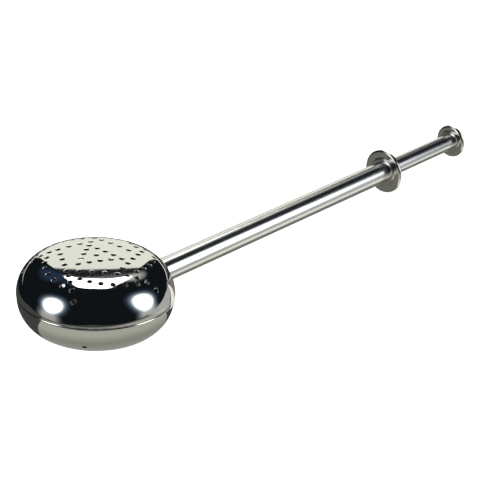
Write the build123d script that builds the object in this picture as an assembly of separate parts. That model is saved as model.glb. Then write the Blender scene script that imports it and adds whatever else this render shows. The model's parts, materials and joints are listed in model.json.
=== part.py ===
"""Tea infuser: a flattened ball in two perforated halves on a push handle.

Pushing the thumb disc slides the lower bowl forward, out from under the upper
shell, and a spring inside the handle draws it back.  Everything is modelled
in a ball frame (origin at the ball's centre on its seam, +X towards the
handle, +Z up), then laid on the table as the real one rests, on the bowl's
underside and the finger collar's rim.  Lengths are millimetres.
"""
import math
import os

from build123d import *

os.makedirs("parts", exist_ok=True)

# Ball
sheet = 0.5
shell_radius = 25.0
shell_height = 12.75
shell_shoulder_radius = 11.8
shell_straight_wall = 0.0
bowl_radius = 24.85
bowl_depth = 14.05
bowl_shoulder_radius = 11.4
bowl_straight_wall = 0.9
seam_gap = 0.3

# Perforation: a centre hole, a triangle of rows, a pentagon of rows whose
# sides run on as arms, and five spiral arcs that end on the arms
hole_diameter = 1.5
triangle_circle = 8.1
triangle_turn = 65.5
pentagon_circle = 13.3
pentagon_turn = 42.0
gaps_per_side = 4
arm_pitch = 3.0
arm_holes = 4
arc_holes = 6
arc_inner_radius = 15.4
arc_outer_radius = 20.0
arc_lead = 24.0
arc_step = 11.8

# Handle axis, and places along it measured from the ball's centre
axis_drop = 3.2
axis_rise = 3.16
tube_radius = 4.0
tube_bore = 3.5
tube_front = 15.5
tube_rear = 143.9
tube_notch_rear = 60.0
tube_notch_clearance = 0.35
collar_front = 142.9
collar_rear = 144.4
collar_radius = 8.35
collar_boss_radius = 5.3
collar_boss = 0.6
disc_front = 184.7
disc_rear = 186.3
disc_radius = 6.4
disc_boss_radius = 4.2
disc_boss = 0.6
rim_rounding = 0.6
tenon_radius = 1.6
disc_plug_length = 9.0
plunger_radius = 3.2
plunger_bore = 2.7
plunger_front = 98.0
plug_front = 94.0
plug_spigot = 8.0
rod_radius = 1.5
rod_flat = 1.2
rod_front = 10.0
rod_rear = 104.0
rod_flat_rear = 70.0
bush_rear = 27.0
bush_flange = 1.2
seat_thickness = 0.6
guide_length = 12.0
running_clearance = 0.05
free_clearance = 0.2

# Saddle, as limits along, across and above the handle axis
saddle_front = 16.0
saddle_rear = 30.0
saddle_sheet = 1.0
saddle_half_width = 4.2
saddle_low = 2.7

# Bowl bracket and nut
bracket_sheet = 1.2
bracket_half_width = 3.5
bracket_top = 3.5
strap_drop = 4.7
flange_reach = 10.5
inside_reach = 40.0
nut_across_flats = 5.5
nut_height = 2.4

# Return spring
spring_wire = 0.5
spring_mean_radius = 2.55
spring_turns = 24

geometry_tolerance = 1e-4


def crown_radius(radius, height, shoulder, wall):
    """Radius of the flat crown arc that is tangent to the shoulder arc."""
    reach = radius - shoulder
    rise = height - wall
    return (reach**2 + rise**2 - shoulder**2) / (2 * (rise - shoulder))


def crown_join(radius, height, shoulder, wall, inset):
    """Point where crown and shoulder meet, on a skin inset from the outside."""
    crown = crown_radius(radius, height, shoulder, wall)
    angle = math.atan2(radius - shoulder, wall - height + crown)
    reach = (crown - inset) * math.sin(angle)
    level = height - crown + (crown - inset) * math.cos(angle)
    return reach, level, angle


def skin_edges(radius, height, shoulder, wall, rim, inset):
    """Half section of one skin, from the rim up to the crown's middle."""
    crown = crown_radius(radius, height, shoulder, wall)
    join_x, join_z, join_angle = crown_join(radius, height, shoulder, wall, inset)
    side_angle = (math.pi / 2 + join_angle) / 2
    reach = shoulder - inset
    side_x = radius - shoulder + reach * math.sin(side_angle)
    side_z = wall + reach * math.cos(side_angle)
    top_x = (crown - inset) * math.sin(join_angle / 2)
    top_z = height - crown + (crown - inset) * math.cos(join_angle / 2)
    start = (radius - inset, 0, wall)
    join = (join_x, 0, join_z)
    apex = (0, 0, height - inset)
    edges = [
        ThreePointArc(start, (side_x, 0, side_z), join),
        ThreePointArc(join, (top_x, 0, top_z), apex),
    ]
    if wall - rim > geometry_tolerance:
        edges.insert(0, Line((radius - inset, 0, rim), start))
        start = (radius - inset, 0, rim)
    return edges, start, apex


def hollow_half(radius, height, shoulder, wall, rim):
    """Sheet dome open at the bottom, with its crown up."""
    outer, outer_rim, outer_apex = skin_edges(
        radius, height, shoulder, wall, rim, 0
    )
    inner, inner_rim, inner_apex = skin_edges(
        radius, height, shoulder, wall, rim, sheet
    )
    edges = outer + [Line(outer_apex, inner_apex)] + inner
    edges.append(Line(inner_rim, outer_rim))
    return revolve(make_face(edges), axis=Axis.Z)


def filled_half(radius, height, shoulder, wall, rim, inset):
    """The solid inside a skin that is inset from the outside."""
    edges, start, apex = skin_edges(radius, height, shoulder, wall, rim, inset)
    foot = (0, 0, rim)
    edges = edges + [Line(apex, foot), Line(foot, start)]
    return revolve(make_face(edges), axis=Axis.Z)


def polygon_row(circle, turn, sides, side):
    """Ends of one side of a regular polygon."""
    start = math.radians(turn + 360 / sides * side)
    end = math.radians(turn + 360 / sides * (side + 1))
    first = (circle * math.cos(start), circle * math.sin(start))
    last = (circle * math.cos(end), circle * math.sin(end))
    return first, last


def hole_centres():
    """Hole centres in plan, seen with the crown towards the viewer."""
    centres = [(0.0, 0.0)]
    for side in range(3):
        first, last = polygon_row(triangle_circle, triangle_turn, 3, side)
        for step in range(gaps_per_side):
            part = step / gaps_per_side
            centres.append(
                (
                    first[0] + (last[0] - first[0]) * part,
                    first[1] + (last[1] - first[1]) * part,
                )
            )
    for side in range(5):
        first, last = polygon_row(pentagon_circle, pentagon_turn, 5, side)
        length = math.dist(first, last)
        along = ((last[0] - first[0]) / length, (last[1] - first[1]) / length)
        for step in range(gaps_per_side):
            reach = length * step / gaps_per_side
            centres.append((first[0] + along[0] * reach, first[1] + along[1] * reach))
        for step in range(1, arm_holes + 1):
            reach = arm_pitch * step
            centres.append((last[0] + along[0] * reach, last[1] + along[1] * reach))
        corner = math.degrees(math.atan2(last[1], last[0]))
        for step in range(arc_holes):
            grow = (arc_outer_radius - arc_inner_radius) / arc_holes
            arc_radius = arc_inner_radius + grow * step
            angle = math.radians(corner + arc_lead + arc_step * step)
            centres.append((arc_radius * math.cos(angle), arc_radius * math.sin(angle)))
    return centres


def punches(radius, height, shoulder, wall):
    """Round punches square to the sheet at every hole centre."""
    crown = crown_radius(radius, height, shoulder, wall)
    join_x, _, _ = crown_join(radius, height, shoulder, wall, 0)
    tools = []
    for x, y in hole_centres():
        reach = math.hypot(x, y)
        heading = math.atan2(y, x)
        if reach <= join_x:
            lean = math.asin(reach / crown)
            level = height - crown + crown * math.cos(lean)
        else:
            lean = math.asin((reach - radius + shoulder) / shoulder)
            level = wall + shoulder * math.cos(lean)
        outward = (
            math.sin(lean) * math.cos(heading),
            math.sin(lean) * math.sin(heading),
            math.cos(lean),
        )
        plane = Plane(origin=(x, y, level), z_dir=outward)
        tools.append(plane * Cylinder(hole_diameter / 2, 4 * sheet))
    return tools


def turned(outline):
    """Solid turned about the handle axis from (place, radius) corners."""
    corners = [(radius, 0, place) for place, radius in outline]
    corners.append(corners[0])
    section = make_face(Polyline(*corners))
    return revolve(section, axis=Axis.Z)


def round_edges(solid, edge_radius, size):
    """Round every circular edge that has the given radius."""
    picked = [
        edge
        for edge in solid.edges().filter_by(GeomType.CIRCLE)
        if abs(edge.radius - edge_radius) < geometry_tolerance
    ]
    return fillet(picked, size)


def d_section(radius, flat, front, rear):
    """Round bar with a flat along its top, in the turning frame."""
    bar = Pos(0, 0, (front + rear) / 2) * Cylinder(radius, rear - front)
    cut = Pos(-flat - radius, 0, (front + rear) / 2) * Box(
        2 * radius, 3 * radius, rear - front + 1
    )
    return bar - cut


handle_frame = Location((0, 0, -axis_drop), (0, -axis_rise, 0))


def along_handle(solid):
    """Lay a solid turned about Z along the handle axis; its -X goes up."""
    return handle_frame * Rot(0, 90, 0) * solid


def handle_box(places, sides, levels):
    """Box given by its limits along, across and above the handle axis."""
    size = [high - low for low, high in (places, sides, levels)]
    middle = [(high + low) / 2 for low, high in (places, sides, levels)]
    return handle_frame * Pos(*middle) * Box(*size)


def tube_notch(radius):
    """Solid that cuts the handle tube's way into a half of the ball."""
    return along_handle(
        turned(
            [
                (tube_front, 0),
                (tube_notch_rear, 0),
                (tube_notch_rear, radius),
                (tube_front, radius),
            ]
        )
    )


nodes = {}

# Upper shell: pressed dome with a notch that fits round the tube
shell_shape = (shell_radius, shell_height, shell_shoulder_radius, shell_straight_wall)
dome = hollow_half(*shell_shape, shell_straight_wall) - tube_notch(tube_radius)
nodes["upper_shell"] = dome - punches(*shell_shape)

# Lower bowl: the same pressing turned over, with a running notch for the tube
bowl_shape = (bowl_radius, bowl_depth, bowl_shoulder_radius, bowl_straight_wall)
turn_over = Rot(180, 0, 0)
bowl = hollow_half(*bowl_shape, seam_gap) - punches(*bowl_shape)
nodes["lower_bowl"] = turn_over * bowl - tube_notch(tube_radius + tube_notch_clearance)

# Saddle: short cradle over the tube, welded to the tube and inside the shell
cradle = turned(
    [
        (saddle_front, tube_radius),
        (saddle_rear, tube_radius),
        (saddle_rear, tube_radius + saddle_sheet),
        (saddle_front, tube_radius + saddle_sheet),
    ]
)
saddle_limits = handle_box(
    (saddle_front, saddle_rear),
    (-saddle_half_width, saddle_half_width),
    (saddle_low, tube_radius + saddle_sheet),
)
dome_inside = filled_half(*shell_shape, shell_straight_wall, sheet)
nodes["handle_saddle"] = along_handle(cradle) & dome_inside & saddle_limits

# Handle tube
nodes["handle_tube"] = along_handle(
    turned(
        [
            (tube_front, tube_bore),
            (tube_rear, tube_bore),
            (tube_rear, tube_radius),
            (tube_front, tube_radius),
        ]
    )
)

# Front bush: pressed into the tube, with a bore that stops the rod turning
bush_front = tube_front - bush_flange
bush = turned(
    [
        (bush_front, 0),
        (bush_rear, 0),
        (bush_rear, tube_bore),
        (tube_front, tube_bore),
        (tube_front, tube_radius),
        (bush_front, tube_radius),
    ]
)
rod_way = d_section(
    rod_radius + running_clearance,
    rod_flat + running_clearance,
    bush_front - 1,
    bush_rear + 1,
)
nodes["front_bush"] = along_handle(bush - rod_way)

# Spring seat: washer that carries the fixed end of the spring
seat_rear = bush_rear + seat_thickness
seat_bore = rod_radius + free_clearance
nodes["spring_seat"] = along_handle(
    turned(
        [
            (bush_rear, seat_bore),
            (seat_rear, seat_bore),
            (seat_rear, tube_bore),
            (bush_rear, tube_bore),
        ]
    )
)

# Guide bush: lines the open end of the tube for the plunger
guide_front = tube_rear - guide_length
guide_radius = plunger_radius + running_clearance
nodes["guide_bush"] = along_handle(
    turned(
        [
            (guide_front, guide_radius),
            (tube_rear, guide_radius),
            (tube_rear, tube_bore),
            (guide_front, tube_bore),
        ]
    )
)

# Finger collar: turned disc with a low boss, its lip closing the tube's end
lip_bore = plunger_radius + free_clearance / 2
collar = turned(
    [
        (collar_front - collar_boss, tube_radius),
        (tube_rear, tube_radius),
        (tube_rear, lip_bore),
        (collar_rear, lip_bore),
        (collar_rear, collar_radius),
        (collar_front, collar_radius),
        (collar_front, collar_boss_radius),
        (collar_front - collar_boss, collar_boss_radius),
    ]
)
nodes["finger_collar"] = along_handle(round_edges(collar, collar_radius, rim_rounding))

# Plunger tube
nodes["plunger_tube"] = along_handle(
    turned(
        [
            (plunger_front, plunger_bore),
            (disc_front, plunger_bore),
            (disc_front, plunger_radius),
            (plunger_front, plunger_radius),
        ]
    )
)

# Plunger plug: head that slides in the tube, spigot in the plunger tube
plug_head = tube_bore - running_clearance
plug_rear = plunger_front + plug_spigot
nodes["plunger_plug"] = along_handle(
    turned(
        [
            (plug_front, rod_radius),
            (rod_rear, rod_radius),
            (rod_rear, 0),
            (plug_rear, 0),
            (plug_rear, plunger_bore),
            (plunger_front, plunger_bore),
            (plunger_front, plug_head),
            (plug_front, plug_head),
        ]
    )
)

# Push rod: flat along its top where it runs through the front bush
rod = turned(
    [(rod_front, 0), (rod_rear, 0), (rod_rear, rod_radius), (rod_front, rod_radius)]
)
flat_front = bush_front - free_clearance / 2
flat_cut = Pos(-rod_flat - rod_radius, 0, (flat_front + rod_flat_rear) / 2) * Box(
    2 * rod_radius, 4 * rod_radius, rod_flat_rear - flat_front
)
nodes["push_rod"] = along_handle(rod - flat_cut)

# Disc plug: pressed into the plunger tube, its tenon riveted through the disc
disc_plug_front = disc_front - disc_plug_length
nodes["disc_plug"] = along_handle(
    turned(
        [
            (disc_plug_front, 0),
            (disc_rear, 0),
            (disc_rear, tenon_radius),
            (disc_front, tenon_radius),
            (disc_front, plunger_bore),
            (disc_plug_front, plunger_bore),
        ]
    )
)

# Thumb disc: turned disc with a low boss round the plunger tube
thumb = turned(
    [
        (disc_front - disc_boss, plunger_radius),
        (disc_front, plunger_radius),
        (disc_front, tenon_radius),
        (disc_rear, tenon_radius),
        (disc_rear, disc_radius),
        (disc_front, disc_radius),
        (disc_front, disc_boss_radius),
        (disc_front - disc_boss, disc_boss_radius),
    ]
)
nodes["thumb_disc"] = along_handle(round_edges(thumb, disc_radius, rim_rounding))

# Bowl bracket: upright ear on the rod, strap under the tube, flange on the wall
ear_rear = bush_front - running_clearance
ear_front = ear_rear - bracket_sheet
strap_top = -strap_drop
strap_bottom = -strap_drop - bracket_sheet
across = (-bracket_half_width, bracket_half_width)
bowl_inside = turn_over * filled_half(*bowl_shape, seam_gap, sheet)
bowl_inner_skin = turn_over * filled_half(*bowl_shape, seam_gap, sheet + bracket_sheet)
ear = handle_box((ear_front, ear_rear), across, (strap_bottom, bracket_top))
strap = handle_box((ear_front, inside_reach), across, (strap_bottom, strap_top))
flange = handle_box((ear_rear, inside_reach), across, (-flange_reach, strap_top))
flange = (flange & bowl_inside) - bowl_inner_skin
bracket = ear + (strap & bowl_inside) + flange
rod_hole = along_handle(Pos(0, 0, ear_front) * Cylinder(rod_radius, 4 * bracket_sheet))
nodes["bowl_bracket"] = bracket - rod_hole

# Rod nut
nut_corner = nut_across_flats / math.sqrt(3)
nut_section = RegularPolygon(nut_corner, 6, rotation=30) - Circle(rod_radius)
nut = Pos(0, 0, ear_front - nut_height) * extrude(nut_section, nut_height)
nodes["rod_nut"] = along_handle(nut)

# Return spring: from the spring seat to the plunger plug
spring_start = seat_rear + spring_wire / 2
spring_length = plug_front - seat_rear - spring_wire
coil = Helix(spring_length / spring_turns, spring_length, spring_mean_radius)
coil_start = Plane(origin=coil @ 0, z_dir=coil % 0)
wire_section = coil_start * Circle(spring_wire / 2)
spring = sweep(wire_section, path=coil, is_frenet=True)
nodes["return_spring"] = along_handle(Pos(0, 0, spring_start) * spring)


def resting_tilt():
    """Tilt that brings the bowl's underside and the collar's rim level."""
    crown = crown_radius(*bowl_shape)
    place = (collar_rear + collar_front) / 2
    reach = collar_radius - rim_rounding
    rise = math.radians(axis_rise)
    rim_x = place * math.cos(rise) + reach * math.sin(rise)
    rim_z = -axis_drop + place * math.sin(rise) - reach * math.cos(rise)
    low, high = 0.0, math.radians(10)
    halvings = 60
    for _ in range(halvings):
        tilt = (low + high) / 2
        bowl_level = (crown - bowl_depth) * math.cos(tilt) - crown
        rim_level = rim_z * math.cos(tilt) - rim_x * math.sin(tilt) - rim_rounding
        if rim_level > bowl_level:
            low = tilt
        else:
            high = tilt
    return math.degrees((low + high) / 2)


# Lay the infuser on the table; origin under the middle of its bounding box
tilted = Rot(0, resting_tilt(), 0)
whole = Compound(children=[tilted * solid for solid in nodes.values()])
box = whole.bounding_box()
middle_x = (box.min.X + box.max.X) / 2
middle_y = (box.min.Y + box.max.Y) / 2
on_table = Pos(-middle_x, -middle_y, -box.min.Z) * tilted

for name, solid in nodes.items():
    export_step(on_table * solid, f"parts/{name}.step")
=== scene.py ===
import json
import math
from collections import namedtuple

import bmesh
import bpy
from mathutils import Matrix, Vector


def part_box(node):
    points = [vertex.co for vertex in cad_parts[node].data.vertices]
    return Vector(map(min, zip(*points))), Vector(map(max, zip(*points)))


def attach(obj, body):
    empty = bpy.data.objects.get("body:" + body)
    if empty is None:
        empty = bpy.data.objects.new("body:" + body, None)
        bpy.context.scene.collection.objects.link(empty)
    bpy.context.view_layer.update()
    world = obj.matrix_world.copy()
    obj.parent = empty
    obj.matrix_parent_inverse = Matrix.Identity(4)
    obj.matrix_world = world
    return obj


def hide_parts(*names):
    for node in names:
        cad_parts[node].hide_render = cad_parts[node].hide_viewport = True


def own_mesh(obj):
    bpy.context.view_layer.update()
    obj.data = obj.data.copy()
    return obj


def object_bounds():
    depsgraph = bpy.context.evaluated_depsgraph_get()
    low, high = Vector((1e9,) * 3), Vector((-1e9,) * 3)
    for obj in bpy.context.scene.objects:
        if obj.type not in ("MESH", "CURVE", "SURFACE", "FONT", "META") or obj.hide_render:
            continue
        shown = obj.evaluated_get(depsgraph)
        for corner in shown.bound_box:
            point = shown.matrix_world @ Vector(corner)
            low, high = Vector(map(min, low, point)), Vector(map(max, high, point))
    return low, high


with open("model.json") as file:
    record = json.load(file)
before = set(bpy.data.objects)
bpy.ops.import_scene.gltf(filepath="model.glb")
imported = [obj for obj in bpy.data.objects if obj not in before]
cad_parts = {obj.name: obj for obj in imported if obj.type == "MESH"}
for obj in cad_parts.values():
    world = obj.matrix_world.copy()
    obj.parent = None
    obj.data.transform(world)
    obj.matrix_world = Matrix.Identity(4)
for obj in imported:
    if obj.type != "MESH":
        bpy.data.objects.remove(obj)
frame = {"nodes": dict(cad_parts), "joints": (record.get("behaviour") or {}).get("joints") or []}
cad_low, cad_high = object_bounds()

# Upper shell
# The lid of the ball: 0.5 mm stainless sheet pressed into a dome with a flat crown.  Round
# holes are punched from outside, which draws their edges in, and the outside is buffed to
# a mirror while the inside stays as it was pressed.
MM = 0.001
sheet = 0.5 * MM

# Outer shape of a pressing: a crown arc runs into a shoulder arc, over a straight wall
Pressing = namedtuple("Pressing", "radius height shoulder wall")
shell_shape = Pressing(radius=25.0 * MM, height=12.75 * MM, shoulder=11.8 * MM, wall=0.0)

# The handle's axis passes under the middle of the seam, and rises a little from the seam's
# plane.  Along it the tubes and discs have their places, measured from there.
handle_along = -Vector(frame["joints"][0]["axis"]).normalized()
axis_rise = math.radians(3.16)
axis_drop = 3.2 * MM
tube_front = 15.5 * MM
tube_rear = 143.9 * MM
tube_radius = 4.0 * MM
ball_tilt = axis_rise + math.asin(-handle_along.z)
ball_turn = Matrix.Rotation(ball_tilt, 4, "Y")
ball_up = ball_turn @ Vector((0, 0, 1))
tube_low, tube_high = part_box("handle_tube")
axis_start = (tube_low + tube_high) / 2 - handle_along * (tube_front + tube_rear) / 2
ball_centre = axis_start + ball_up * axis_drop
ball_place = Matrix.Translation(ball_centre) @ ball_turn
handle_up = Vector((-handle_along.z, 0, handle_along.x))
handle_side = handle_along.cross(handle_up)
handle_place = Matrix.Translation(axis_start) @ Matrix(
    (handle_up, handle_side, handle_along)
).transposed().to_4x4()


def arc(centre, radius, start, end, steps):
    """Points on an arc in the (reach, level) plane; angles from the reach axis."""
    angles = [start + (end - start) * step / steps for step in range(steps + 1)]
    return [
        (centre[0] + radius * math.cos(angle), centre[1] + radius * math.sin(angle))
        for angle in angles
    ]


def dome_arcs(shape):
    """Crown radius, crown centre level and the angle where crown meets shoulder."""
    reach = shape.radius - shape.shoulder
    rise = shape.height - shape.wall
    crown = (reach**2 + rise**2 - shape.shoulder**2) / (2 * (rise - shape.shoulder))
    join = math.atan2(crown - rise, reach)
    return crown, shape.height - crown, join


def spun(outline, steps, name):
    """Mesh turned about Z from an outline of (reach, level) points."""
    merge_distance = 1e-7
    bm = bmesh.new()
    ring = [bm.verts.new((reach, 0, level)) for reach, level in outline]
    edges = [bm.edges.new(pair) for pair in zip(ring, ring[1:])]
    if outline[0][0] > merge_distance:
        edges.append(bm.edges.new((ring[-1], ring[0])))
    bmesh.ops.spin(
        bm,
        geom=ring + edges,
        cent=(0, 0, 0),
        axis=(0, 0, 1),
        angle=2 * math.pi,
        steps=steps,
        use_merge=True,
    )
    bmesh.ops.remove_doubles(bm, verts=bm.verts, dist=merge_distance)
    bmesh.ops.recalc_face_normals(bm, faces=bm.faces)
    return finished_mesh(bm, name)


def finished_mesh(bm, name):
    """Mesh made from a bmesh, which is freed."""
    mesh = bpy.data.meshes.new(name)
    bm.to_mesh(mesh)
    bm.free()
    return mesh


def shown(mesh, name):
    """Object of that mesh, in the scene."""
    piece = bpy.data.objects.new(name, mesh)
    bpy.context.scene.collection.objects.link(piece)
    return piece


def around(reach, degrees):
    """Point in the seam plane at that reach and angle from the dome's axis."""
    angle = math.radians(degrees)
    return Vector((reach * math.cos(angle), reach * math.sin(angle)))


def hole_centres():
    """Rows of holes: a triangle, a pentagon whose sides run on, and spiral arcs."""
    side_holes = 4
    run_on_pitch = 3.0 * MM
    spiral_holes = 6
    spiral_start = 15.4 * MM
    spiral_growth = 4.6 * MM
    spiral_lead = 24
    spiral_pitch = 11.8
    centres = [Vector((0, 0))]
    for sides, circle, turn in ((3, 8.1 * MM, 65.5), (5, 13.3 * MM, 42.0)):
        for side in range(sides):
            start = around(circle, turn + 360 / sides * side)
            heading = turn + 360 / sides * (side + 1)
            end = around(circle, heading)
            centres += [start.lerp(end, step / side_holes) for step in range(side_holes)]
            if sides == 3:
                continue
            along = (end - start).normalized()
            centres += [end + along * run_on_pitch * step for step in range(1, side_holes + 1)]
            for step in range(spiral_holes):
                reach = spiral_start + spiral_growth * step / spiral_holes
                centres.append(around(reach, heading + spiral_lead + spiral_pitch * step))
    return centres


def skin_normal(point, shape, inset):
    """Outward normal of a pressed skin at a point, or None if the point is off it."""
    angle_slack = 1e-4
    skin_slack = 0.009 * MM
    crown, crown_level, join = dome_arcs(shape)
    reach = math.hypot(point.x, point.y)
    for centre, size, lowest, highest in (
        ((0, crown_level), crown, join, math.pi),
        ((shape.radius - shape.shoulder, shape.wall), shape.shoulder, 0, join),
    ):
        across = reach - centre[0]
        up = point.z - centre[1]
        angle = math.atan2(up, across)
        in_span = lowest - angle_slack < angle <= highest + angle_slack
        if in_span and abs(math.hypot(across, up) - size + inset) < skin_slack:
            heading = math.atan2(point.y, point.x)
            flat = math.cos(angle)
            return Vector(
                (flat * math.cos(heading), flat * math.sin(heading), math.sin(angle))
            )
    return None


# Least cosine between a face's normal and the skin's for the face to lie on that skin
same_way = 0.9


def keep_skin_normals(mesh, shape):
    """Give both skins the exact normals of their arcs, so they mirror cleanly."""
    mesh.set_sharp_from_angle(angle=math.radians(38))
    outer = [skin_normal(vertex.co, shape, 0) for vertex in mesh.vertices]
    inner = [skin_normal(vertex.co, shape, sheet) for vertex in mesh.vertices]
    normals = []
    for polygon in mesh.polygons:
        polygon.use_smooth = True
        for corner in polygon.vertices:
            normal = (0, 0, 0)
            if outer[corner] and polygon.normal.dot(outer[corner]) > same_way:
                normal = outer[corner]
            elif inner[corner] and polygon.normal.dot(inner[corner]) < -same_way:
                normal = -inner[corner]
            normals.append(normal)
    mesh.normals_split_custom_set(normals)


def give_two_finishes(mesh, shape):
    """Mirror polish all over, except on the inside skin, which stays as pressed."""
    mesh.materials.clear()
    mesh.materials.append(ball_steel)
    mesh.materials.append(pressed_steel)
    for polygon in mesh.polygons:
        inner = skin_normal(polygon.center, shape, sheet)
        if inner and polygon.normal.dot(inner) < -same_way:
            polygon.material_index = 1
        else:
            polygon.material_index = 0


def punch_mesh():
    """One punch: straight below, flaring into a round draw-in at the outer skin."""
    punch_radius = 0.81 * MM
    draw_in = 0.11 * MM
    draw_width = 0.2 * MM
    below = 1.4 * MM
    above = 0.6 * MM
    mouth = punch_radius + draw_width
    outline = [(0, -below), (punch_radius, -below)]
    for reach, level in arc((0, 0), 1, math.pi, math.pi / 2 + 0.1, 6):
        outline.append((mouth + draw_width * reach, draw_in * (level - 1)))
    outline += [(mouth + 0.1 * MM, 0.02 * MM), (mouth + 0.3 * MM, above), (0, above)]
    return spun(outline, 28, "punch")


def punches(shape):
    """A punch at every hole centre, square to the outer skin."""
    crown, crown_level, join = dome_arcs(shape)
    shoulder_reach = shape.radius - shape.shoulder
    punch = punch_mesh()
    tools = bmesh.new()
    for x, y in hole_centres():
        reach = math.hypot(x, y)
        if reach <= crown * math.cos(join):
            level = crown_level + math.sqrt(crown**2 - reach**2)
        else:
            level = shape.wall + math.sqrt(shape.shoulder**2 - (reach - shoulder_reach) ** 2)
        normal = skin_normal(Vector((x, y, level)), shape, 0)
        turn = Vector((0, 0, 1)).rotation_difference(normal).to_matrix().to_4x4()
        stamped = punch.copy()
        stamped.transform(Matrix.Translation((x, y, level)) @ turn)
        tools.from_mesh(stamped)
        bpy.data.meshes.remove(stamped)
    return tools


def pressed_half(shape, rim_outline, notch_radius, turn_over, name):
    """One perforated half of the ball, in place, with a notch for the handle tube."""
    crown, crown_level, join = dome_arcs(shape)
    corner = (shape.radius - shape.shoulder, shape.wall)
    rim_angle = math.asin(max(rim_outline[0][1] - shape.wall, 0) / shape.shoulder)
    outline = arc((0, crown_level), crown, math.pi / 2, join, 14)
    outline += arc(corner, shape.shoulder, join, rim_angle, 40)[1:-1]
    outline += rim_outline
    outline += arc(corner, shape.shoulder - sheet, rim_angle, join, 30)[1:]
    outline += arc((0, crown_level), crown - sheet, join, math.pi / 2, 14)[1:]
    outline[0] = (0.0, outline[0][1])
    outline[-1] = (0.0, outline[-1][1])
    half = shown(spun(outline, 180, name), name)

    flip = Matrix.Rotation(math.pi if turn_over else 0, 4, "X")
    notch_length = 40 * MM
    notch_middle = 36 * MM
    tools = punches(shape)
    bmesh.ops.create_cone(
        tools,
        cap_ends=True,
        segments=72,
        radius1=notch_radius,
        radius2=notch_radius,
        depth=notch_length,
        matrix=flip
        @ ball_place.inverted()
        @ handle_place
        @ Matrix.Translation((0, 0, notch_middle)),
    )
    tool = shown(finished_mesh(tools, "tools"), "tools")
    modifier = half.modifiers.new("punched", "BOOLEAN")
    modifier.operation = "DIFFERENCE"
    modifier.solver = "EXACT"
    modifier.object = tool
    depsgraph = bpy.context.evaluated_depsgraph_get()
    half.data = bpy.data.meshes.new_from_object(half.evaluated_get(depsgraph))
    half.modifiers.clear()
    bpy.data.objects.remove(tool)
    keep_skin_normals(half.data, shape)
    give_two_finishes(half.data, shape)
    half.data.transform(ball_place @ flip)
    return half


def steel(name, colour, roughness, spread):
    """Metal with a polish that varies in roughness, its shader and its coordinates."""
    material = bpy.data.materials.new(name)
    material.use_nodes = True
    nodes = material.node_tree.nodes
    shader = nodes["Principled BSDF"]
    shader.inputs["Base Color"].default_value = (*colour, 1)
    shader.inputs["Metallic"].default_value = 1
    coords = nodes.new("ShaderNodeTexCoord")
    patches = nodes.new("ShaderNodeTexNoise")
    patches.inputs["Scale"].default_value = 160
    patches.inputs["Detail"].default_value = 5
    to_roughness = nodes.new("ShaderNodeMapRange")
    to_roughness.inputs["To Min"].default_value = roughness - spread
    to_roughness.inputs["To Max"].default_value = roughness + spread
    links = material.node_tree.links
    links.new(coords.outputs["Object"], patches.inputs["Vector"])
    links.new(patches.outputs["Fac"], to_roughness.inputs["Value"])
    links.new(to_roughness.outputs["Result"], shader.inputs["Roughness"])
    return material, shader, coords


def add_bump(material, shader, height, distance):
    """Bump of that depth in metres."""
    nodes, links = material.node_tree.nodes, material.node_tree.links
    bump = nodes.new("ShaderNodeBump")
    bump.inputs["Distance"].default_value = distance
    links.new(height, bump.inputs["Height"])
    links.new(bump.outputs["Normal"], shader.inputs["Normal"])


# Pressing leaves the sheet very slightly uneven
ball_steel, shader, coords = steel("mirror_pressed_steel", (0.80, 0.80, 0.775), 0.055, 0.02)
nodes, links = ball_steel.node_tree.nodes, ball_steel.node_tree.links
unevenness = nodes.new("ShaderNodeTexNoise")
unevenness.inputs["Scale"].default_value = 75
unevenness.inputs["Detail"].default_value = 1
links.new(coords.outputs["Object"], unevenness.inputs["Vector"])
add_bump(ball_steel, shader, unevenness.outputs["Fac"], 0.03 * MM)

pressed_steel = steel("pressed_steel_inside", (0.42, 0.42, 0.41), 0.38, 0.06)[0]

soft_edge = 0.1 * MM
shell_bore = shell_shape.radius - sheet
shell_rim = [
    (shell_shape.radius, soft_edge),
    (shell_shape.radius - soft_edge, 0),
    (shell_bore + soft_edge, 0),
    (shell_bore, soft_edge),
]
welded_clearance = 0.02 * MM
shell = pressed_half(shell_shape, shell_rim, tube_radius + welded_clearance, False, "shell_dome")
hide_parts("upper_shell")
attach(shell, "handle")

# Lower bowl
# The deeper half, pressed from the same sheet with the same punches, so its rows of holes
# match.  Its rounded edge sits just under the shell's, and a notch clears the tube.
seam_gap = 0.3 * MM
bowl_shape = Pressing(radius=24.85 * MM, height=14.05 * MM, shoulder=11.4 * MM, wall=0.9 * MM)
edge = 0.34 * MM
bowl_rim = arc((bowl_shape.radius - edge, seam_gap + edge), edge, 0, -math.pi / 2, 6)
bowl_rim += [(bowl_shape.radius - sheet, seam_gap + 0.5 * edge)]
sliding_clearance = 0.35 * MM
bowl = pressed_half(bowl_shape, bowl_rim, tube_radius + sliding_clearance, True, "bowl_dome")
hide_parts("lower_bowl")
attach(bowl, "plunger")

# Handle tube and plunger tube
# Bright drawn stainless tube, polished along its length, one sliding in the other.
# Their cut ends are lightly rounded.
plunger_front = 98 * MM
plunger_rear = 184.7 * MM
plunger_radius = 3.2 * MM
plunger_bore = 2.7 * MM
tube_bore = 3.5 * MM


def turned(outline, name):
    """Round piece along the handle axis, with edges that are sharp past 30 degrees."""
    mesh = spun(outline, 96, name)
    for polygon in mesh.polygons:
        polygon.use_smooth = True
    mesh.set_sharp_from_angle(angle=math.radians(30))
    mesh.transform(handle_place)
    return shown(mesh, name)


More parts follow.
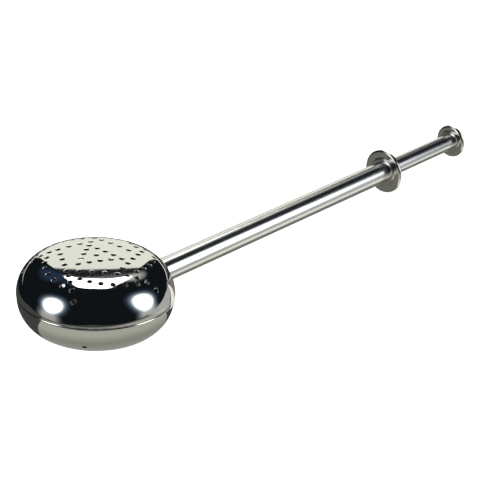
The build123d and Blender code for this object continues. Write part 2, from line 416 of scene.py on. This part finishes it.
def tube(name, front, rear, radius, bore):
    """Tube along the handle axis with softened edges at both ends."""
    soft = 0.12 * MM
    outline = [
        (radius, front + soft),
        (radius, rear - soft),
        (radius - soft, rear),
        (bore + soft, rear),
        (bore, rear - soft),
        (bore, front + soft),
        (bore + soft, front),
        (radius - soft, front),
    ]
    return turned(outline, name)


def add_lines(material, shader, coords, scale, detail, distance):
    """Fine lines from noise that is stretched along the handle."""
    nodes, links = material.node_tree.nodes, material.node_tree.links
    stretched = nodes.new("ShaderNodeMapping")
    stretched.inputs["Scale"].default_value = scale
    lines = nodes.new("ShaderNodeTexNoise")
    lines.inputs["Scale"].default_value = 1
    lines.inputs["Detail"].default_value = detail
    links.new(coords.outputs["Object"], stretched.inputs["Vector"])
    links.new(stretched.outputs["Vector"], lines.inputs["Vector"])
    add_bump(material, shader, lines.outputs["Fac"], distance)


handle_tube = tube("outer_tube", tube_front, tube_rear, tube_radius, tube_bore)
plunger_tube = tube("inner_tube", plunger_front, plunger_rear, plunger_radius, plunger_bore)
tube_steel, shader, coords = steel("bright_drawn_tube", (0.78, 0.78, 0.755), 0.19, 0.04)
add_lines(tube_steel, shader, coords, (25, 2600, 2600), 3, 0.004 * MM)
for piece, node, body in (
    (handle_tube, "handle_tube", "handle"),
    (plunger_tube, "plunger_tube", "plunger"),
):
    piece.data.materials.append(tube_steel)
    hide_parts(node)
    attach(piece, body)

# Finger collar and thumb disc
# Turned stainless discs with full round rims.  Each has a low boss round its tube on
# the side that faces the ball, with a fine groove outside it, and turning rings.
collar_front = 142.9 * MM
collar_rear = 144.4 * MM
collar_radius = 8.35 * MM
collar_boss_radius = 5.3 * MM
collar_lip = 0.48 * MM
disc_rear = 186.3 * MM
disc_radius = 6.4 * MM
disc_boss_radius = 4.2 * MM
disc_lip = 1.58 * MM
tenon_bore = 1.62 * MM


def turned_disc(name, front, rear, radius, boss_radius, bore, rear_bore, lip):
    """Disc along the handle axis with a round rim, a boss in front and a lip behind."""
    boss = 0.6 * MM
    soft = 0.1 * MM
    boss_edge = 0.25 * MM
    groove = 0.1 * MM
    half = (rear - front) / 2
    outline = [
        (bore, front - boss + soft),
        (bore + soft, front - boss),
        (boss_radius - boss_edge, front - boss),
        (boss_radius - 0.28 * boss_edge, front - boss + 0.28 * boss_edge),
        (boss_radius, front - boss + boss_edge),
        (boss_radius, front + 0.2 * groove),
        (boss_radius + 1.2 * groove, front + groove),
        (boss_radius + 3 * groove, front + groove),
        (boss_radius + 4.5 * groove, front),
    ]
    outline += arc((radius - half, (front + rear) / 2), half, -math.pi / 2, math.pi / 2, 14)
    outline += [
        (rear_bore + soft, rear),
        (rear_bore, rear - soft),
        (rear_bore, rear - lip),
        (bore, rear - lip),
    ]
    return turned(outline, name)


fit = 0.01 * MM
collar = turned_disc(
    "collar_disc",
    collar_front,
    collar_rear,
    collar_radius,
    collar_boss_radius,
    tube_radius + fit,
    plunger_radius + 0.1 * MM,
    collar_lip,
)
thumb = turned_disc(
    "thumb_button",
    plunger_rear,
    disc_rear,
    disc_radius,
    disc_boss_radius,
    plunger_radius + fit,
    tenon_bore,
    disc_lip,
)
turned_steel, shader, coords = steel("turned_steel_rings", (0.66, 0.65, 0.62), 0.17, 0.04)
nodes, links = turned_steel.node_tree.nodes, turned_steel.node_tree.links
centred = nodes.new("ShaderNodeMapping")
centred.vector_type = "TEXTURE"
centred.inputs["Location"].default_value = axis_start
centred.inputs["Rotation"].default_value = handle_place.to_euler()
rings = nodes.new("ShaderNodeTexWave")
rings.wave_type = "RINGS"
rings.rings_direction = "Z"
rings.inputs["Scale"].default_value = 1500
rings.inputs["Distortion"].default_value = 0.6
rings.inputs["Detail"].default_value = 2
links.new(coords.outputs["Object"], centred.inputs["Vector"])
links.new(centred.outputs["Vector"], rings.inputs["Vector"])
add_bump(turned_steel, shader, rings.outputs["Color"], 0.004 * MM)
for piece, node, body in (
    (collar, "finger_collar", "handle"),
    (thumb, "thumb_disc", "plunger"),
):
    piece.data.materials.append(turned_steel)
    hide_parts(node)
    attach(piece, body)


def refinish(name, material):
    """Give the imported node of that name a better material."""
    materials = frame["nodes"][name].data.materials
    materials.clear()
    materials.append(material)


refinish("disc_plug", turned_steel)

# Bushes and plug
# White acetal turnings: the bush that steers the push rod, the one that lines the
# tube's open end, and the plug at the front of the plunger tube.
acetal = bpy.data.materials.new("white_acetal")
acetal.use_nodes = True
nodes, links = acetal.node_tree.nodes, acetal.node_tree.links
shader = nodes["Principled BSDF"]
shader.inputs["Roughness"].default_value = 0.42
shader.inputs["Subsurface Weight"].default_value = 0.1
shader.inputs["Subsurface Radius"].default_value = (1.0 * MM, 0.8 * MM, 0.6 * MM)
coords = nodes.new("ShaderNodeTexCoord")
mottle = nodes.new("ShaderNodeTexNoise")
mottle.inputs["Scale"].default_value = 500
tint = nodes.new("ShaderNodeValToRGB")
tint.color_ramp.elements[0].color = (0.78, 0.76, 0.70, 1)
tint.color_ramp.elements[1].color = (0.86, 0.85, 0.80, 1)
links.new(coords.outputs["Object"], mottle.inputs["Vector"])
links.new(mottle.outputs["Fac"], tint.inputs["Fac"])
links.new(tint.outputs["Color"], shader.inputs["Base Color"])
add_bump(acetal, shader, mottle.outputs["Fac"], 0.01 * MM)
for name in ("front_bush", "guide_bush", "plunger_plug"):
    refinish(name, acetal)

# Rod, bracket, nut, seat and saddle
# Plain stainless inside the handle and ball: centreless-ground rod, folded strip
# bracket, standard hexagon nut, washer, and the cradle welded under the shell.
inner_steel, shader, coords = steel("satin_inner_steel", (0.62, 0.61, 0.59), 0.28, 0.06)
add_lines(inner_steel, shader, coords, (300, 4000, 4000), 2, 0.006 * MM)
for name in ("push_rod", "bowl_bracket", "rod_nut", "spring_seat", "handle_saddle"):
    refinish(name, inner_steel)

# Return spring
# Stainless wire coiled open, between the seat and the plunger plug.
spring_start = 27.6 * MM
spring_end = 94.0 * MM
wire_radius = 0.25 * MM
coil_radius = 2.55 * MM
turns = 24
steps_per_turn = 32
bm = bmesh.new()
bmesh.ops.create_circle(
    bm,
    cap_ends=True,
    segments=10,
    radius=wire_radius,
    matrix=Matrix.Translation((coil_radius, 0, spring_start + wire_radius))
    @ Matrix.Rotation(math.radians(90), 4, "X"),
)
travel = spring_end - spring_start - 2 * wire_radius
bmesh.ops.spin(
    bm,
    geom=bm.verts[:] + bm.edges[:] + bm.faces[:],
    cent=(0, 0, 0),
    axis=(0, 0, 1),
    dvec=(0, 0, travel / (turns * steps_per_turn)),
    angle=2 * math.pi * turns,
    steps=turns * steps_per_turn,
)
bmesh.ops.remove_doubles(bm, verts=bm.verts, dist=1e-7)
bmesh.ops.recalc_face_normals(bm, faces=bm.faces)
spring_mesh = finished_mesh(bm, "coil")
for polygon in spring_mesh.polygons:
    polygon.use_smooth = True
spring_mesh.set_sharp_from_angle(angle=math.radians(60))
spring_mesh.transform(handle_place)
spring = shown(spring_mesh, "coil_spring")
spring_steel = steel("drawn_spring_wire", (0.56, 0.55, 0.54), 0.25, 0.05)[0]
spring.data.materials.append(spring_steel)
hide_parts("return_spring")
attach(spring, "handle")
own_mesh(spring)

# Studio
# A pale table, a softbox overhead behind the infuser, a lamp on each side and a pale card
# behind it.  The rest of the room is dark, which gives the steel its black bands.
bpy.context.scene.view_settings.view_transform = "Standard"
level = Vector((0, 0, 1))
foot = Vector((ball_centre.x, ball_centre.y, cad_low[2]))


def towards(azimuth, elevation):
    """Unit vector in that direction, in degrees; azimuth 0 is +X, 90 is +Y."""
    flat = math.cos(math.radians(elevation))
    return Vector(
        (
            flat * math.cos(math.radians(azimuth)),
            flat * math.sin(math.radians(azimuth)),
            math.sin(math.radians(elevation)),
        )
    )


def facing(point, target):
    """Place at a point with its +Z towards the target and its Y upwards."""
    turn = (target - point).to_track_quat("Z", "Y").to_matrix().to_4x4()
    return Matrix.Translation(point) @ turn


def cut_away(bm, normal):
    """Remove what is behind the plane through the origin with that normal."""
    bmesh.ops.bisect_plane(
        bm,
        geom=bm.verts[:] + bm.edges[:] + bm.faces[:],
        plane_co=(0, 0, 0),
        plane_no=normal,
        clear_inner=True,
    )


def staged(bm, place, name, material):
    """Studio object from a bmesh, in place, that only the steel sees."""
    bmesh.ops.transform(bm, matrix=place, verts=bm.verts)
    studio_piece = shown(finished_mesh(bm, name), name)
    studio_piece.data.materials.append(material)
    studio_piece.visible_camera = False
    studio_piece.visible_shadow = False
    return studio_piece


def studio_sheet(name, place, width, depth, material, corner=0.0):
    """Flat sheet that only the steel sees; a corner of 1 makes it an ellipse."""
    bm = bmesh.new()
    bm.loops.layers.uv.new("flat")
    bmesh.ops.create_grid(bm, x_segments=1, y_segments=1, size=0.5, calc_uvs=True)
    if corner:
        bmesh.ops.bevel(
            bm,
            geom=bm.verts[:],
            affect="VERTICES",
            offset=0.499 * corner,
            segments=12,
            profile=0.5,
            material=-1,
        )
    return staged(bm, place @ Matrix.Diagonal((width, depth, 1, 1)), name, material)


def even_glow(name, colour, strength):
    """Surface that gives off the same light all over and reflects almost none."""
    material = bpy.data.materials.new(name)
    material.use_nodes = True
    shader = material.node_tree.nodes["Principled BSDF"]
    shader.inputs["Base Color"].default_value = (0.02, 0.02, 0.02, 1)
    shader.inputs["Specular IOR Level"].default_value = 0
    shader.inputs["Emission Color"].default_value = (*colour, 1)
    shader.inputs["Emission Strength"].default_value = strength
    return material


def fading_glow(name, stops, strength):
    """Glow that changes from the sheet's edge, at 0, to its middle, at 1, hiding nothing."""
    material = bpy.data.materials.new(name)
    material.use_nodes = True
    nodes, links = material.node_tree.nodes, material.node_tree.links
    nodes.remove(nodes["Principled BSDF"])
    coords = nodes.new("ShaderNodeTexCoord")
    centre = nodes.new("ShaderNodeMapping")
    centre.inputs["Location"].default_value = (-1, -1, 0)
    centre.inputs["Scale"].default_value = (2, 2, 0)
    fade = nodes.new("ShaderNodeTexGradient")
    fade.gradient_type = "SPHERICAL"
    ramp = nodes.new("ShaderNodeValToRGB")
    for element, (position, colour) in zip(ramp.color_ramp.elements, (stops[0], stops[-1])):
        element.position = position
        element.color = (*colour, 1)
    for position, colour in stops[1:-1]:
        ramp.color_ramp.elements.new(position).color = (*colour, 1)
    light = nodes.new("ShaderNodeEmission")
    light.inputs["Strength"].default_value = strength
    see_through = nodes.new("ShaderNodeBsdfTransparent")
    both = nodes.new("ShaderNodeAddShader")
    links.new(coords.outputs["UV"], centre.inputs["Vector"])
    links.new(centre.outputs["Vector"], fade.inputs["Vector"])
    links.new(fade.outputs["Fac"], ramp.inputs["Fac"])
    links.new(ramp.outputs["Color"], light.inputs["Color"])
    links.new(light.outputs["Emission"], both.inputs[0])
    links.new(see_through.outputs["BSDF"], both.inputs[1])
    links.new(both.outputs["Shader"], nodes["Material Output"].inputs["Surface"])
    return material


# The table that the camera sees is white; the steel sees patches of it instead, pale ones and
# ones with painted shade and painted shadow, each a fraction of a millimetre under the table's
# surface so that none lies in another
table_white = even_glow("table_white", (1, 1, 1), 0.9)
table_base = table_white.node_tree.nodes["Principled BSDF"].inputs["Base Color"]
table_base.default_value = (0.9, 0.9, 0.9, 1)
table_place = Matrix.Translation((0, 0, foot.z))
table = studio_sheet("white_table", table_place, 4.0, 4.0, table_white)
table.visible_camera = True
table.visible_glossy = False

# Painted shade and painted shadow: this patch darkens towards its rim, where the light falls
# away, and in a ring near the ball's foot, for the ball's shadow there.
table_painted_shadow = fading_glow(
    "table_painted_shadow",
    (
        (0.0, (0.13, 0.13, 0.12)),
        (0.2, (0.38, 0.38, 0.33)),
        (0.45, (0.36, 0.36, 0.31)),
        (0.62, (0.20, 0.20, 0.17)),
        (0.8, (0.30, 0.30, 0.28)),
    ),
    1.0,
)
apron_radius = 68 * MM
layer = 0.1 * MM
bm = bmesh.new()
bm.loops.layers.uv.new("flat")
bmesh.ops.create_circle(bm, cap_ends=True, segments=72, radius=apron_radius, calc_uvs=True)
for edge_azimuth, side in ((138, 1), (342, -1)):
    cut_away(bm, level.cross(towards(edge_azimuth, 0)) * side)
staged(bm, Matrix.Translation(foot - level * 2 * layer), "front_apron", table_painted_shadow)
beside_handle = 60 * MM
apron_length = 220 * MM
# Strips along the handle: under and behind it a dark strip, painted shadow of the tube on the
# table; in front of it a pale strip; further out a dimmer strip, painted falloff of the light.
for name, place_y, depth, layers, glow_name, glow in (
    ("under_handle", 12 * MM, 60 * MM, 3, "table_shaded", (0.17, 0.17, 0.15)),
    ("handle_apron", -14.5 * MM, 11 * MM, 2, "handle_apron_pale", (0.9, 0.9, 0.84)),
    ("handle_far_apron", -50 * MM, 55 * MM, 2, "handle_far_apron_painted_falloff", (0.42, 0.43, 0.41)),
):
    place = Matrix.Translation((beside_handle, place_y, foot.z - layers * layer))
    studio_sheet(name, place, apron_length, depth, even_glow(glow_name, glow, 1.0))
# Painted shade: a dark patch under all the others, standing for the table shaded round the ball.
shade_patch_glow = even_glow("table_painted_shade", (0.035, 0.037, 0.034), 1.0)
shade_patch_size = 150 * MM
shade_patch_place = Matrix.Translation(foot - level * 4 * layer)
studio_sheet("shaded_table_patch", shade_patch_place, shade_patch_size, shade_patch_size, shade_patch_glow)

# Table beyond the ball, roughly where the camera looks, and an arched card that stands on it
rear_middle = foot + towards(45, 0) * 1.035 - level * 2 * layer
rear_place = Matrix.Translation(rear_middle) @ Matrix.Rotation(math.radians(45), 4, "Z")
rear_glow = even_glow("rear_pale", (0.8, 0.8, 0.74), 1.0)
studio_sheet("rear_table", rear_place, 1.53, 0.74, rear_glow)
card_distance = 1.8
card_half_width = 0.64
card_height = 1.22
card_foot = foot + towards(48, 0) * card_distance
card_size = Matrix.Diagonal((card_half_width, card_height, 1, 1))
bm = bmesh.new()
bmesh.ops.create_circle(bm, cap_ends=True, segments=72, radius=1)
cut_away(bm, (0, 1, 0))
card_glow = even_glow("card_white", (0.88, 0.88, 0.80), 1.0)
staged(bm, facing(card_foot, foot) @ card_size, "arched_card", card_glow)


def hung(name, azimuth, elevation, distance, width, height, corner, material):
    """Sheet hung so that it faces the ball; width and height are in degrees."""
    studio_sheet(
        name,
        facing(ball_centre + towards(azimuth, elevation) * distance, ball_centre),
        2 * distance * math.tan(math.radians(width / 2)),
        2 * distance * math.tan(math.radians(height / 2)),
        material,
        corner,
    )


unlit = (0.0, 0.0, 0.0)
lamp_glow = fading_glow(
    "lamp_glow",
    (
        (0.0, unlit),
        (0.18, (0.006, 0.009, 0.014)),
        (0.34, (0.04, 0.055, 0.075)),
        (0.46, (0.25, 0.27, 0.29)),
        (0.56, (1.0, 1.0, 1.0)),
    ),
    3.0,
)
spill_glow = fading_glow("spill_glow", ((0.0, unlit), (0.7, (0.5, 0.5, 0.47))), 1.0)
pool_stops = ((0.0, unlit), (0.25, (0.08, 0.08, 0.08)), (0.6, (0.4, 0.4, 0.38)))
pool_glow = fading_glow("pool_glow", pool_stops, 1.0)
blue_glow = fading_glow("blue_glow", ((0.0, unlit), (0.6, (0.012, 0.026, 0.058))), 1.0)
softbox_white = even_glow("softbox_white", (1.0, 1.0, 1.0), 4.0)
hung("overhead_softbox", 43, 60, 2.0, 28, 40, 0.5, softbox_white)
hung("softbox_spill", 25, 44, 2.1, 34, 26, 0, spill_glow)
hung("left_lamp", 163, 21, 1.8, 54, 66, 0, lamp_glow)
hung("right_lamp", 306, 19, 1.8, 54, 72, 0, lamp_glow)
hung("left_pool", 161, -10, 1.7, 44, 50, 0, pool_glow)
hung("right_pool", 306, -10, 1.7, 44, 50, 0, pool_glow)
hung("blue_haze", 77, 44, 2.2, 40, 38, 0, blue_glow)

world = bpy.data.worlds.new("dark_studio")
bpy.context.scene.world = world
world.use_nodes = True
room_dark = (0.006, 0.008, 0.010, 1)
world.node_tree.nodes["Background"].inputs["Color"].default_value = room_dark

# The camera stands beyond the ball, to one side, and looks down at about 27 degrees
camera_offset = Vector((-0.26445, -0.31909, 0.23233))
camera_pitch = math.radians(62.551)
camera_heading = math.radians(-45.94)
camera_data = bpy.data.cameras.new("camera")
camera_data.lens = 112.5
camera = bpy.data.objects.new("camera", camera_data)
camera.location = ball_centre + camera_offset
camera.rotation_euler = (camera_pitch, 0, camera_heading)
bpy.context.scene.collection.objects.link(camera)
bpy.context.scene.camera = camera
